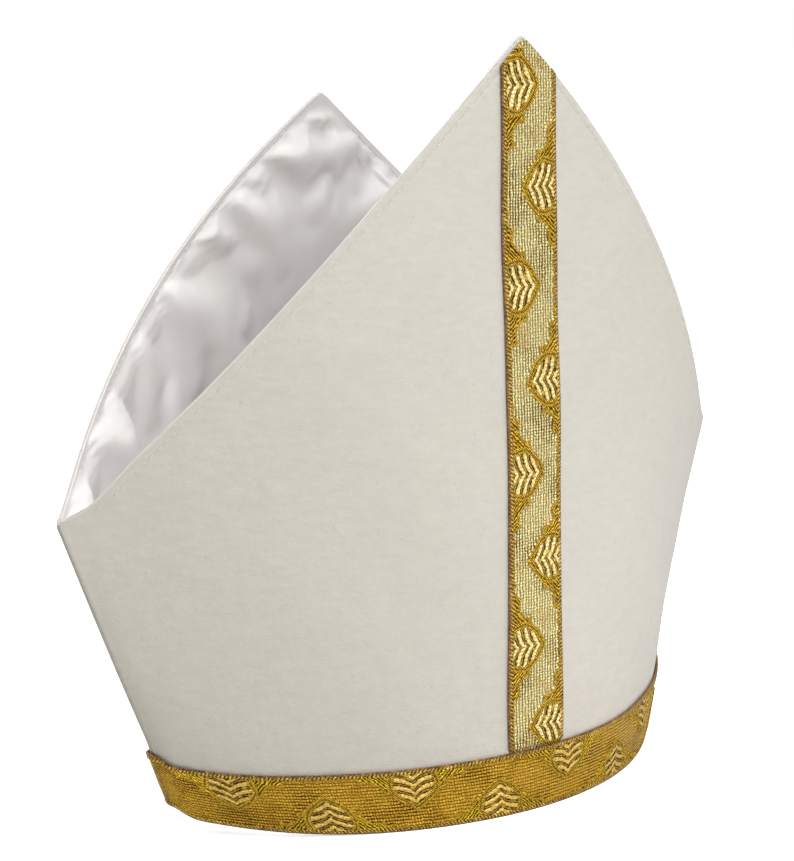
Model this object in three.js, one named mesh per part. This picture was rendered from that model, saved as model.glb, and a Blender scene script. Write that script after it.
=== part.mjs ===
// Bishop mitre: two stiff felt panels that meet at the side seams and end in two horns, a satin lining
// inside each horn, and one gold galloon sewn on as a band round the base and a strip up each horn.
// Millimetres, +Z up. The front horn faces -Y, and the origin is the middle of the base, on the
// surface that the mitre stands on.

import * as THREE from "three";

// Driving dimensions
const baseHalfWidth = 120.5; // from the middle to a side seam at the base
const shoulderHalfWidth = 166; // from the middle to the corner where a side seam ends
const shoulderHeight = 128;
const flareCurve = 0.92; // under 1 the sides flare out a little faster near the base
const fullness = { base: 1.16, shoulder: 0.88, tip: 0.7 }; // over 1 a section is rounder, under 1 more pointed
const seamPlaneY = -2.2; // the side seams lie a little in front of the middle
const seamThickness = 3.2; // both panels together, where they are sewn
const rimLift = 7.4; // the rim rises this much at the side seams
const rimFlatShare = 0.35; // share of a panel's half width whose rim lies flat on the surface
const shoulderDip = 1.6; // how far a horn's edge is nipped in just above the shoulder
const shoulderDipReach = 0.03; // share of the horn's height that the nip takes
const rimBlend = 25; // the layers lie level with each other at the rim, and square to the felt from here up

// Walls, and the gap between sewn pieces
const feltWall = 2.4;
const liningWall = 1;
const galloonWall = 1;
const pieceGap = 0.4;

// Lining and trim
const liningHem = 5; // bare felt between the rim and the lining
const liningSeamShare = 0.965; // share of the width that the lining covers between the side seams
const liningEdge = 4.6; // bare felt beside the lining along a horn's edge, measured across
const bandFoot = 0.5; // the band's lower edge above the rim
const bandHeight = 23.5;
const stripHalfWidth = 13.5;
const stripEdge = 3.4; // bare felt beside the strip's point at the apex, measured across

// The two horns: depths are from the seams' plane to the middle line, which bows out from straight
const horns = {
  front: {
    side: -1, apexHeight: 299, baseDepth: 71.5, tipDepth: 74.5, bow: -1, edgeBulge: 0.123, edgeSkew: -0.084,
  },
  back: {
    side: 1, apexHeight: 280, baseDepth: 73, tipDepth: 53, bow: 14, edgeBulge: 0.13, edgeSkew: -0.06,
  },
};

// Facets: columns across a piece, rows up to the shoulders, and rows from there to the apex
const panelFacets = { columns: 28, lowRows: 9, hornRows: 15 };
const liningFacets = { columns: 20, lowRows: 7, hornRows: 12 };
const stripFacets = { columns: 4, lowRows: 6, hornRows: 12 };
const bandFacets = { columns: 36, rows: 2 };
const seamCrowding = 0.5; // 0 spaces the columns evenly, 1 crowds them fully towards the side seams
const shoulderCrowding = 1.4; // over 1 crowds a horn's rows towards the shoulders
const slopeStep = 0.5; // step along the surface when its normal is worked out

const { lerp } = THREE.MathUtils;

// Half the width from seam to seam. Above the shoulders it runs on, as the width of the horns' sections.
function sectionHalfWidth(z) {
  const rise = Math.max(z, 0) / shoulderHeight;
  const flare = rise <= 1 ? rise ** flareCurve : 1 + (rise - 1) * flareCurve;
  return lerp(baseHalfWidth, shoulderHalfWidth, flare);
}

// Half the width of a panel: out to the seams below the shoulders, and to the horn's edges above them.
function panelHalfWidth(horn, z) {
  if (z <= shoulderHeight) return sectionHalfWidth(z);
  const climb = Math.min((z - shoulderHeight) / (horn.apexHeight - shoulderHeight), 1);
  const left = 1 - climb;
  const bulge = climb * left * (horn.edgeBulge + horn.edgeSkew * (1 - 2 * climb));
  const dip = shoulderDip * left * (1 - Math.exp(-climb / shoulderDipReach));
  return shoulderHalfWidth * (left + bulge) - dip;
}

// Height at which a panel has narrowed to a half width, found by halving the horn again and again.
function heightAtHalfWidth(horn, halfWidth) {
  let low = shoulderHeight;
  let high = horn.apexHeight;
  for (let step = 0; step < 40; step += 1) {
    const middle = (low + high) / 2;
    if (panelHalfWidth(horn, middle) > halfWidth) low = middle;
    else high = middle;
  }
  return low;
}

// Depth of a horn's middle line from the seams' plane: straight from base to tip, with one bow.
function middleDepth(horn, z) {
  const climb = z / horn.apexHeight;
  return lerp(horn.baseDepth, horn.tipDepth, climb) + 4 * horn.bow * climb * (1 - climb);
}

// How round a section is at a height, from the base by the shoulders to the tip.
function sectionFullness(horn, z) {
  if (z <= shoulderHeight) return lerp(fullness.base, fullness.shoulder, Math.max(z, 0) / shoulderHeight);
  const climb = (z - shoulderHeight) / (horn.apexHeight - shoulderHeight);
  return lerp(fullness.shoulder, fullness.tip, Math.min(climb, 1));
}

// A point of the felt's outer face. The section bows from seam to seam, and the rim lifts at the seams.
function facePoint(horn, x, z) {
  const share = Math.min(Math.abs(x) / sectionHalfWidth(z), 1);
  const bow = (1 - share ** 2) ** (1 / sectionFullness(horn, z));
  const depth = middleDepth(horn, z) * bow + seamThickness / 2;
  const lift = rimLift * (Math.max(share - rimFlatShare, 0) / (1 - rimFlatShare)) ** 2;
  const height = z + lift * Math.max(1 - z / shoulderHeight, 0);
  return new THREE.Vector3(x, horn.side * depth, height);
}

// The felt's outward normal, from two short steps along its face, the one across taken away from the
// seam. It turns level at the rim, so that every layer ends flat there.
function faceNormal(horn, x, z) {
  const here = facePoint(horn, x, z);
  const inward = x > 0 ? -slopeStep : slopeStep;
  const along = facePoint(horn, x + inward, z).sub(here).divideScalar(inward);
  const up = facePoint(horn, x, z + slopeStep).sub(here);
  const normal = along.cross(up).multiplyScalar(-horn.side).normalize();
  normal.z *= Math.min(z / rimBlend, 1);
  return normal.normalize();
}

// A point of a layer that lies inside the felt's outer face, or outside it where inset is negative.
// Inside, it stays on its own side of the seams' plane.
function layerPoint(horn, x, z, inset) {
  const point = facePoint(horn, x, z).addScaledVector(faceNormal(horn, x, z), -inset);
  const nearest = pieceGap / 2;
  if (inset > 0 && horn.side * point.y < nearest) point.y = horn.side * nearest;
  point.y += seamPlaneY;
  return point;
}

// Heights of a piece's rows: even up to the shoulders, then crowded towards them up to the top.
function rowHeights(bottom, top, facets) {
  const low = Array.from({ length: facets.lowRows }, (_, row) => lerp(bottom, shoulderHeight, row / facets.lowRows));
  const high = Array.from({ length: facets.hornRows + 1 }, (_, row) => {
    return lerp(shoulderHeight, top, (row / facets.hornRows) ** shoulderCrowding);
  });
  return [...low, ...high];
}

// Places of the columns across a piece, from -1 to 1.
function columnPlaces(columns) {
  return Array.from({ length: columns + 1 }, (_, column) => {
    const even = (2 * column) / columns - 1;
    return lerp(even, Math.sin((even * Math.PI) / 2), seamCrowding);
  });
}

// Joins corners by their numbers into a closed body. Corners that fall together drop their facet.
function closedBody(points, quads, facesOut) {
  const triangles = quads.flatMap(([a, b, c, d]) => [[a, b, c], [a, c, d]]);
  const whole = triangles.filter(([a, b, c]) => a !== b && b !== c && c !== a);
  const index = whole.flatMap(([a, b, c]) => (facesOut ? [a, b, c] : [a, c, b]));
  const geometry = new THREE.BufferGeometry();
  geometry.setAttribute("position", new THREE.Float32BufferAttribute(points.flatMap((p) => p.toArray()), 3));
  geometry.setIndex(index);
  geometry.computeVertexNormals();
  return geometry;
}

// A sheet on a horn that ends in a point at the top, as thick as the space between two insets.
function pointedSheet(horn, { bottom, top, halfWidth, outside, inside, facets }) {
  const heights = rowHeights(bottom, top, facets);
  const places = columnPlaces(facets.columns);
  const points = [];
  const layers = [outside, inside].map((inset) => heights.map((z, row) => {
    const first = points.length;
    if (row === heights.length - 1) {
      points.push(layerPoint(horn, 0, z, inset));
      return places.map(() => first);
    }
    places.forEach((place) => points.push(layerPoint(horn, place * halfWidth(z), z, inset)));
    return places.map((_, column) => first + column);
  }));
  const [outer, inner] = layers;
  const quads = [];
  for (let row = 0; row + 1 < heights.length; row += 1) {
    for (let column = 0; column + 1 < places.length; column += 1) {
      const [a, b] = [outer[row], outer[row + 1]];
      const [c, d] = [inner[row], inner[row + 1]];
      quads.push([a[column], a[column + 1], b[column + 1], b[column]]);
      quads.push([c[column], d[column], d[column + 1], c[column + 1]]);
    }
  }
  const last = places.length - 1;
  for (let row = 0; row + 1 < heights.length; row += 1) {
    quads.push([outer[row][0], outer[row + 1][0], inner[row + 1][0], inner[row][0]]);
    quads.push([outer[row + 1][last], outer[row][last], inner[row][last], inner[row + 1][last]]);
  }
  for (let column = 0; column < last; column += 1) {
    quads.push([outer[0][column + 1], outer[0][column], inner[0][column], inner[0][column + 1]]);
  }
  return closedBody(points, quads, horn.side < 0);
}

// A felt panel, from the rim to the apex of its horn.
function panelGeometry(horn) {
  return pointedSheet(horn, {
    bottom: 0,
    top: horn.apexHeight,
    halfWidth: (z) => panelHalfWidth(horn, z),
    outside: 0,
    inside: feltWall,
    facets: panelFacets,
  });
}

// The satin inside a panel, which leaves the felt's turned edge bare.
function liningGeometry(horn) {
  const outside = feltWall + pieceGap;
  return pointedSheet(horn, {
    bottom: liningHem,
    top: heightAtHalfWidth(horn, liningEdge),
    halfWidth: (z) => Math.min(sectionHalfWidth(z) * liningSeamShare, panelHalfWidth(horn, z) - liningEdge),
    outside,
    inside: outside + liningWall,
    facets: liningFacets,
  });
}

// The galloon up the middle of a horn, from the band's upper edge to a point at the apex.
function stripGeometry(horn) {
  return pointedSheet(horn, {
    bottom: bandFoot + bandHeight + pieceGap,
    top: heightAtHalfWidth(horn, stripEdge),
    halfWidth: (z) => Math.min(stripHalfWidth, panelHalfWidth(horn, z) - stripEdge),
    outside: -pieceGap - galloonWall,
    inside: -pieceGap,
    facets: stripFacets,
  });
}

// The galloon round the base, over both panels and both side seams.
function bandGeometry() {
  const places = columnPlaces(bandFacets.columns);
  const walk = [
    ...places.map((place) => ({ horn: horns.front, place })),
    ...places.map((place) => ({ horn: horns.back, place: -place })),
  ];
  const levels = Array.from({ length: bandFacets.rows + 1 }, (_, row) => bandFoot + (bandHeight * row) / bandFacets.rows);
  const profile = [
    ...levels.map((z) => ({ z, inset: -pieceGap - galloonWall })),
    ...levels.toReversed().map((z) => ({ z, inset: -pieceGap })),
  ];
  const points = walk.flatMap(({ horn, place }) => {
    return profile.map(({ z, inset }) => layerPoint(horn, place * sectionHalfWidth(z), z, inset));
  });
  const corner = (step, turn) => (step % walk.length) * profile.length + (turn % profile.length);
  const quads = walk.flatMap((_, step) => profile.map((__, turn) => [
    corner(step, turn), corner(step + 1, turn), corner(step + 1, turn + 1), corner(step, turn + 1),
  ]));
  return closedBody(points, quads, true);
}

// Finishes
const felt = { color: 0xdad6cc, roughness: 0.95, metalness: 0 };
const satin = { color: 0xe8e7ea, roughness: 0.4, metalness: 0 };
const gold = { color: 0xb99a58, roughness: 0.5, metalness: 0.5 };

// The whole mitre
const mitre = new THREE.Group();

function addPiece(name, geometry, finish) {
  const piece = new THREE.Mesh(geometry, new THREE.MeshStandardMaterial(finish));
  piece.name = name;
  mitre.add(piece);
}

for (const [name, horn] of Object.entries(horns)) {
  addPiece(`${name}_panel`, panelGeometry(horn), felt);
  addPiece(`${name}_lining`, liningGeometry(horn), satin);
  addPiece(`${name}_strip`, stripGeometry(horn), gold);
}
addPiece("base_band", bandGeometry(), gold);

export default mitre;
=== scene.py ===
import math
from collections import namedtuple

import bpy
import numpy as np
from mathutils import Matrix, Vector


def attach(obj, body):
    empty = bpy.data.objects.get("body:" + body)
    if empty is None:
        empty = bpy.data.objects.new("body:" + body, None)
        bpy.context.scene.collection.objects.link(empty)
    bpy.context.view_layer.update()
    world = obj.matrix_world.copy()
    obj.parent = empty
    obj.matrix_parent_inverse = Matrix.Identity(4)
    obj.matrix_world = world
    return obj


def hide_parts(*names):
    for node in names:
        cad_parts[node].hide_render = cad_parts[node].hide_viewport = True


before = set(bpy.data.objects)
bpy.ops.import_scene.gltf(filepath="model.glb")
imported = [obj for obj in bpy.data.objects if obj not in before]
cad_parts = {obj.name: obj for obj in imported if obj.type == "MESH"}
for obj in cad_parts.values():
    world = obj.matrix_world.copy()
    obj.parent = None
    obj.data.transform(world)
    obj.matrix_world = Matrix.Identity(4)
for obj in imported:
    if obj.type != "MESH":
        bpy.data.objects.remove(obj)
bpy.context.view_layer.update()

# Sizes are in millimetres, and MM turns them into Blender's metres
MM = 0.001

# The mitre's body, with the same values as its solids
BASE_HALF_WIDTH = 120.5
SHOULDER_HALF_WIDTH = 166.0
SHOULDER_HEIGHT = 128.0
FLARE_CURVE = 0.92
FULLNESS_BASE = 1.16
FULLNESS_SHOULDER = 0.88
FULLNESS_TIP = 0.70
SEAM_Y = -2.2
SEAM_THICKNESS = 3.2
RIM_LIFT = 7.4
RIM_FLAT_SHARE = 0.35
SHOULDER_DIP = 1.6
DIP_REACH = 0.03
RIM_BLEND = 25.0
PIECE_GAP = 0.4

# Slight forms of the cloth that the solids leave out
RIM_CORNER_LIFT = 4.5
CORNER_SPREAD = 2.3
CORNER_SPREAD_REACH = 0.03
CORNER_SPREAD_HEIGHT = 30.0
SHOULDER_SAG = 2.9
SHOULDER_SAG_PLACE = 0.045

# rim_curve is the power of the rim's lift towards the seams, and rim_corner the share of the half
# width over which the corner at the seam is lifted further
HORN_VALUES = "name side apex base_depth tip_depth bow edge_bulge edge_skew rim_curve rim_corner"
Horn = namedtuple("Horn", HORN_VALUES)
FRONT = Horn("front", -1, 299.0, 71.5, 74.5, -1.0, 0.123, -0.084, 3, 0.021)
BACK = Horn("back", 1, 280.0, 73.0, 53.0, 14.0, 0.13, -0.06, 2, 0.08)
HORNS = (FRONT, BACK)

# The felt, pressed thin along the horns' edges, and its stitching
FELT_WALL = 2.4
FELT_EDGE_WALL = 1.1
FELT_ROWS = 132
FELT_COLUMNS = 142
FELT_PRESS_REACH = (2, 11)
FELT_PRESS_START = (SHOULDER_HEIGHT - 6, SHOULDER_HEIGHT + 4)
WAVE_RIM_FADE = (0, 14)
WAVE_EDGE_FADE = (0, 20)
EDGE_STITCH_LINE = 2.5
EDGE_STITCH_PITCH = 3.9
EDGE_STITCH_LENGTH = 3.0
EDGE_STITCH_RADIUS = 0.26
EDGE_STITCH_SINK = 0.18
STITCH_FROM_SHOULDER = 5
STITCH_TO_POINT = 8
STITCH_TO_STRIP = 1.0
GROOVE_DEPTH = 0.25
GROOVE_WIDTH = 0.8
GROOVE_START = (SHOULDER_HEIGHT - 1, SHOULDER_HEIGHT + 7)

# A panel's grid ends where it is this narrow, and its columns crowd towards the edges by these shares
PANEL_TIP_HALF_WIDTH = 0.6
EVEN_COLUMNS = 0.45
CROWDED_COLUMNS = 0.55
PANEL_EDGE_START = (SHOULDER_HEIGHT - 12, SHOULDER_HEIGHT + 2)

# The lining settles a little short of the side seams and is then drawn out to them
LINING_GAP = 0.2
LINING_WALL = 0.8
LINING_HEM = 5.0
LINING_SEAM_SHARE = 0.97
LINING_SEWN_SHARE = 0.994
LINING_REACH = 165.2
LINING_LIP = 0.7
LINING_STITCH_LINE = 1.4
LINING_STITCH_SINK = 0.1
LINING_HELD_WIDTH = 0.3
LINING_HELD_UNDER_SHOULDER = 4
LINING_HELD_TIP = 9

# The galloon, sewn up the horns in strips and round the base in a band
GALLOON_WALL = 0.7
STRIP_HALF_WIDTH = 12.95
STRIP_FOOT = 22.6
STRIP_TUCK = (24.7, 26.2)
STRIP_TUCK_GAP = 0.12
STRIP_TUCK_WALL = 0.15
STRIP_ROWS = 610
STRIP_COLUMNS = 60
STRIP_POINT_MARGIN = {"front": 1.0, "back": 4.5}
STRIP_LEAN_FOOT = -1.0
STRIP_LEAN_TIP = 2.1
STRIP_LEAN_REACH = (10, 155.0)
BAND_ROWS = 48
BAND_COLUMNS = 960
BAND_FOOT = 0.4
BAND_HEIGHT = 23.6
BAND_CORNER_LIFT = 0.5
BAND_CORNER_REACH = 5.0
BAND_CORNER_BLUR = 3

# Places along the ribbon: a strip's first leaf and the leaves' step there, which grows by one
# millimetre a leaf, then the band's first leaf and the number of its leaves. The leaf that the
# band's join would cut is left out, counted from both ends of the band
STRIP_FIRST_LEAF = 33.3
STRIP_FIRST_STEP = 31.9
BAND_FIRST_LEAF = -122.8
BAND_LEAVES = 18
JOINED_LEAVES = (-1, BAND_LEAVES - 1)

# The galloon's yarns
RIBBON_HALF_WIDTH = 13.5
SELVAGE_WIDTH = 1.5
SELVAGE_SOFTNESS = 0.3
BAR_PITCH = 3.6
BEAD_PITCH = 1.5
RIB_PITCH = 1.45
TICK_PITCH = 1.15
TWIST_PITCH = 1.1
STRIPE_PITCH = 1.2
WEAVE_FIELDS = ("leaf", "wing", "chevron", "run", "slant", "cusp")

# The photograph's view
CAMERA_AZIMUTH = -37.583
CAMERA_ELEVATION = 8.859
CAMERA_ROLL = -2.104
CAMERA_DISTANCE = 970.524
CAMERA_SIDESTEP = -5.805
CAMERA_AIM_HEIGHT = 142.525
FOCAL_PIXELS = 2378.58
IMAGE_HEIGHT = 861
SENSOR_HEIGHT = 24.0

# The studio
FLOOR_HEIGHT = -0.05
FLOOR_GLOW = 0.62
LIGHT_AIM_HEIGHT = 150.0

# How many points a line is sampled at before places are taken from it
CLIMB_POINTS = 3000
BAND_HALF_POINTS = 1500
STITCH_LINE_POINTS = 1200


# The body's surface

def section_half_width(z):
    """Half the width of the whole section at height z: a power curve from base to shoulder,
    carried on straight above it."""
    share = np.maximum(z, 0) / SHOULDER_HEIGHT
    flare = np.where(share <= 1, share ** FLARE_CURVE, 1 + (share - 1) * FLARE_CURVE)
    return BASE_HALF_WIDTH + (SHOULDER_HALF_WIDTH - BASE_HALF_WIDTH) * flare


def horn_half_width(horn, z):
    """Half the width of a horn's panel: the section's width up to the shoulder, then a line to
    the point with a skewed parabola added and a small quick dip beside the shoulder."""
    climb = np.clip((z - SHOULDER_HEIGHT) / (horn.apex - SHOULDER_HEIGHT), 0, 1)
    left = 1 - climb
    bulge = climb * left * (horn.edge_bulge + horn.edge_skew * (1 - 2 * climb))
    dip = SHOULDER_DIP * left * (1 - np.exp(-climb / DIP_REACH))
    edge = SHOULDER_HALF_WIDTH * (left + bulge) - dip
    return np.where(z <= SHOULDER_HEIGHT, section_half_width(z), edge)


def middle_depth(horn, z):
    """How far the panel's middle stands off the seam plane: a line plus a parabola."""
    climb = z / horn.apex
    line = horn.base_depth + (horn.tip_depth - horn.base_depth) * climb
    return line + 4 * horn.bow * climb * (1 - climb)


def section_fullness(horn, z):
    """How round the section is: straight runs from base to shoulder and from shoulder to tip."""
    low = np.clip(z / SHOULDER_HEIGHT, 0, 1)
    high = np.clip((z - SHOULDER_HEIGHT) / (horn.apex - SHOULDER_HEIGHT), 0, 1)
    lower = FULLNESS_BASE + (FULLNESS_SHOULDER - FULLNESS_BASE) * low
    upper = FULLNESS_SHOULDER + (FULLNESS_TIP - FULLNESS_SHOULDER) * high
    return np.where(z <= SHOULDER_HEIGHT, lower, upper)


def face(horn, x, z):
    """The felt's outer face: depth is the middle's times (1 - s^2)^(1/fullness), s being the
    share of the half width. The rim is lifted by a power curve towards the side seams, and bell
    curves at the seams lift its corners a little more and spread them outwards."""
    share = np.minimum(np.abs(x) / section_half_width(z), 1)
    depth = middle_depth(horn, z) * (1 - share ** 2) ** (1 / section_fullness(horn, z))
    sideways = np.maximum(share - RIM_FLAT_SHARE, 0) / (1 - RIM_FLAT_SHARE)
    corner = RIM_CORNER_LIFT * np.exp(-((1 - share) / horn.rim_corner) ** 2)
    lift = (RIM_LIFT * sideways ** horn.rim_curve + corner) * np.maximum(1 - z / SHOULDER_HEIGHT, 0)
    spread = CORNER_SPREAD * np.exp(-((1 - share) / CORNER_SPREAD_REACH) ** 2)
    spread = spread * np.maximum(1 - z / CORNER_SPREAD_HEIGHT, 0)
    y = SEAM_Y + horn.side * (depth + SEAM_THICKNESS / 2)
    return np.stack([x + np.sign(x) * spread, y, z + lift], -1)


def unit(vectors):
    """Each vector divided by its length."""
    return vectors / np.maximum(np.linalg.norm(vectors, axis=-1, keepdims=True), 1e-9)


def face_normal(horn, x, z, step=0.5):
    """The outward normal: the cross product of a step across and a step up, kept level near the
    rim so that the rim stays flat."""
    inward = np.where(x > 0, -step, step)
    here = face(horn, x, z)
    across = (face(horn, x + inward, z) - here) / inward[..., None]
    up = face(horn, x, z + step) - here
    normal = -horn.side * np.cross(across, up)
    normal[..., 2] *= np.minimum(z / RIM_BLEND, 1)
    return unit(normal)


def settled(horn, x, z):
    """x drawn inwards where the front horn's left edge sags beside the shoulder: c^2 exp(-2c) of
    the climb, strongest at its set place, on the outer part of the panel alone."""
    if horn is not FRONT:
        return x
    climb = np.maximum(z - SHOULDER_HEIGHT, 0) / (horn.apex - SHOULDER_HEIGHT) / SHOULDER_SAG_PLACE
    outer = np.clip(-x / horn_half_width(horn, z), 0, 1) ** 4
    return x + SHOULDER_SAG * climb ** 2 * np.exp(2 - 2 * climb) * outer


def own_side(horn, places):
    """Places kept on a horn's own side of the seam plane, half a gap off it or more."""
    reach = np.maximum(horn.side * (places[..., 1] - SEAM_Y), PIECE_GAP / 2)
    places[..., 1] = SEAM_Y + horn.side * reach
    return places


def layer(horn, x, z, height):
    """A cloth layer: the face moved along its normal by height, outwards when positive, and kept
    on its own side of the seam plane."""
    x = settled(horn, x, z)
    return own_side(horn, face(horn, x, z) + face_normal(horn, x, z) * np.asarray(height)[..., None])


def line_run(points):
    """The way along a line of points to each of them: the sum of the steps before it."""
    steps = np.linalg.norm(np.diff(points, axis=0), axis=-1)
    return np.concatenate([[0], np.cumsum(steps)])


def smooth_step(low, high, value):
    """0 below low, 1 above high and a smooth cubic between."""
    share = np.clip((value - low) / (high - low), 0, 1)
    return share * share * (3 - 2 * share)


def edge_distance(horn, x, z, step=1.0):
    """Distance on the cloth from the horn's edge: the run left to the edge at this height, drawn
    out by the section's slope and shortened by the edge's own slant."""
    inward = np.where(x > 0, -step, step)
    stretch = np.linalg.norm(face(horn, x + inward, z) - face(horn, x, z), axis=-1) / step
    slant = (horn_half_width(horn, z + step) - horn_half_width(horn, z - step)) / (2 * step)
    run = (horn_half_width(horn, z) - np.abs(x)) * stretch
    return run / np.sqrt(1 + (slant * stretch) ** 2)


Wave = namedtuple("Wave", "size across up phase")
SLOW_WAVES = (
    Wave(0.40, 1 / 190, 1 / 260, 0.7),
    Wave(0.30, -1 / 120, 1 / 150, 2.1),
    Wave(0.22, 1 / 75, 1 / 95, 4.0),
    Wave(0.15, 1 / 52, -1 / 60, 5.3),
)


def wave_sum(waves, x, z, turn=0.0):
    """A sum of plane waves, for cloth that is not quite even."""
    total = 0.0
    for wave in waves:
        angle = 2 * np.pi * (wave.across * x + wave.up * z) + wave.phase + turn
        total = total + wave.size * np.sin(angle)
    return total


# Meshes from arrays

def grid_quads(index):
    """The corners of every cell in a grid of point numbers."""
    return np.stack([index[:-1, :-1], index[:-1, 1:], index[1:, 1:], index[1:, :-1]], -1).reshape(-1, 4)


def mesh_piece(name, points, faces, material, uv=None, values=None):
    """A mesh from points in millimetres and a list of index arrays, each of faces with the same
    number of corners. Faces are turned round together if their volume is negative."""
    corner = points[faces[0]]
    volume = np.einsum("ij,ij->", corner[:, 0], np.cross(corner[:, 1], corner[:, 2]))
    volume += np.einsum("ij,ij->", corner[:, 0], np.cross(corner[:, 2], corner[:, -1]))
    if volume < 0:
        faces = [group[:, ::-1] for group in faces]
    corners = np.concatenate([group.ravel() for group in faces])
    sizes = np.concatenate([np.full(len(group), group.shape[1]) for group in faces])
    starts = np.concatenate([[0], np.cumsum(sizes)[:-1]])
    mesh = bpy.data.meshes.new(name)
    mesh.vertices.add(len(points))
    mesh.vertices.foreach_set("co", (points * MM).ravel())
    mesh.loops.add(len(corners))
    mesh.loops.foreach_set("vertex_index", corners.astype(np.int32))
    mesh.polygons.add(len(sizes))
    mesh.polygons.foreach_set("loop_start", starts.astype(np.int32))
    mesh.polygons.foreach_set("loop_total", sizes.astype(np.int32))
    mesh.polygons.foreach_set("use_smooth", np.ones(len(sizes), dtype=bool))
    if uv is not None:
        mesh.uv_layers.new(name="cloth").data.foreach_set("uv", (uv[corners] * MM).ravel())
    for key, value in (values or {}).items():
        mesh.attributes.new(key, "FLOAT", "POINT").data.foreach_set("value", value.ravel())
    mesh.update(calc_edges=True)
    mesh.validate()
    mesh.materials.append(material)
    piece = bpy.data.objects.new(name, mesh)
    bpy.context.scene.collection.objects.link(piece)
    return piece


def cloth_shell(name, top, under, material, uv, ring=False, values=None, round_steps=4):
    """A closed cloth piece: a grid of top points, a grid of under points, and half-round edges
    that carry each border point of the top round to the under one. In a ring the last column
    meets the first, and only the lower and upper borders are rounded."""
    rows, columns = top.shape[:2]
    index = np.arange(rows * columns).reshape(rows, columns)
    row, column = np.indices((rows, columns))
    inner_row = np.clip(row, 1, rows - 2)
    inner_column = column if ring else np.clip(column, 1, columns - 2)
    inside = index[inner_row, inner_column]
    quads = grid_quads(np.concatenate([index, index[:, :1]], 1) if ring else index)
    if ring:
        loops = [index[0], index[-1, ::-1]]
    else:
        loops = [np.concatenate([index[0], index[1:, -1], index[-1, -2::-1], index[-2:0:-1, 0]])]
    count = rows * columns
    flat_top = top.reshape(-1, 3)
    flat_under = under.reshape(-1, 3)
    points = [flat_top, flat_under]
    faces = [quads, quads[:, ::-1] + count]
    source = [np.arange(count), np.arange(count)]
    used = 2 * count
    turn = np.linspace(0, np.pi, round_steps + 1)[1:-1, None, None]
    for loop in loops:
        middle = (flat_top[loop] + flat_under[loop]) / 2
        half = (flat_top[loop] - flat_under[loop]) / 2
        inner = inside.ravel()[loop]
        away = unit(middle - (flat_top[inner] + flat_under[inner]) / 2)
        away = unit(away - half * (np.sum(away * half, -1) / np.sum(half * half, -1))[:, None])
        radius = np.linalg.norm(half, axis=-1)[:, None]
        arcs = middle + np.cos(turn) * half + np.sin(turn) * radius * away
        new = used + np.arange((round_steps - 1) * len(loop)).reshape(round_steps - 1, -1)
        used += new.size
        points.append(arcs.reshape(-1, 3))
        source.append(np.tile(loop, round_steps - 1))
        bands = np.concatenate([loop[None], new, loop[None] + count])
        after = np.roll(bands, -1, axis=1)
        faces.append(np.stack([after[:-1], bands[:-1], bands[1:], after[1:]], -1).reshape(-1, 4))
    source = np.concatenate(source)
    all_values = {key: value.ravel()[source] for key, value in (values or {}).items()}
    return mesh_piece(name, np.concatenate(points), [np.concatenate(faces)], material,
                      uv.reshape(-1, 2)[source], all_values)


def stitch_row(name, centres, along, out, material, length, radius, rings=5, sides=6):
    """A row of stitches: a spindle whose radius is r (1 - t^4)^(1/2) along t from -1 to 1,
    flattened a little and set at each centre."""
    t = np.linspace(-0.97, 0.97, rings)
    angle = np.arange(sides) * 2 * np.pi / sides
    thick = radius * np.sqrt(1 - t ** 4)
    across = np.cross(along, out)
    spindle = (centres[:, None, None] + along[:, None, None] * (t * length / 2)[None, :, None, None]
               + across[:, None, None] * (thick[:, None] * np.cos(angle))[None, :, :, None]
               + out[:, None, None] * (0.8 * thick[:, None] * np.sin(angle))[None, :, :, None])
    number = len(centres)
    index = np.arange(number * rings * sides).reshape(number, rings, sides)
    after = np.roll(index, -1, axis=2)
    quads = np.stack([index[:, :-1], after[:, :-1], after[:, 1:], index[:, 1:]], -1).reshape(-1, 4)
    caps = np.concatenate([index[:, 0, ::-1], index[:, -1]])
    run = np.broadcast_to(t[None, :, None] * length / 2, spindle.shape[:3])
    round_it = np.broadcast_to(angle[None, None] * radius, spindle.shape[:3])
    uv = np.stack([run, round_it], -1).reshape(-1, 2)
    return mesh_piece(name, spindle.reshape(-1, 3), [quads, caps], material, uv)


# Colours of the finishes

FELT_IVORY = ((0.655, 0.628, 0.560, 1), (0.668, 0.632, 0.578, 1))
FELT_SLUB = (0.585, 0.56, 0.50, 1)
FELT_SPECK = (0.47, 0.45, 0.40, 1)
SATIN_WHITE = ((0.715, 0.688, 0.683, 1), (0.762, 0.735, 0.711, 1))
THREAD_IVORY = ((0.60, 0.585, 0.55, 1), (0.76, 0.745, 0.71, 1))
PAPER_SEEN = ((0.94, 0.94, 0.94, 1), (0.955, 0.955, 0.955, 1))
PAPER_SENDING_LIGHT = (0.68, 0.67, 0.65, 1)
# Painted shade: the dark inside the leaf's outline that shows between and beside its cords
LEAF_CORD_GAP_SHADE = (0.20, 0.10, 0.010, 1)
LEAF_CORE = (0.60, 0.40, 0.08, 1)
# Painted shade in the gaps between the leaf's bars
LEAF_BAR_GAP_SHADE = (0.05, 0.027, 0.005, 1)
# The cords' gold, with painted shade in the grooves of their twist
CORD_GOLD_AND_TWIST_SHADE = ((0.28, 0.12, 0.006, 1), (1.0, 0.66, 0.075, 1))
SELVAGE_GOLD = ((0.13, 0.06, 0.012, 1), (0.86, 0.58, 0.13, 1))
HEM_BROWN = (0.30, 0.16, 0.06, 1)
YARN_GLINT = ((0.5, 0.5, 0.5, 1), (1.8, 1.8, 1.8, 1))

# In each tint, the ground's dark and the wings' dark are painted shade, in the gaps between ribs and
# between stripes.
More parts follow.
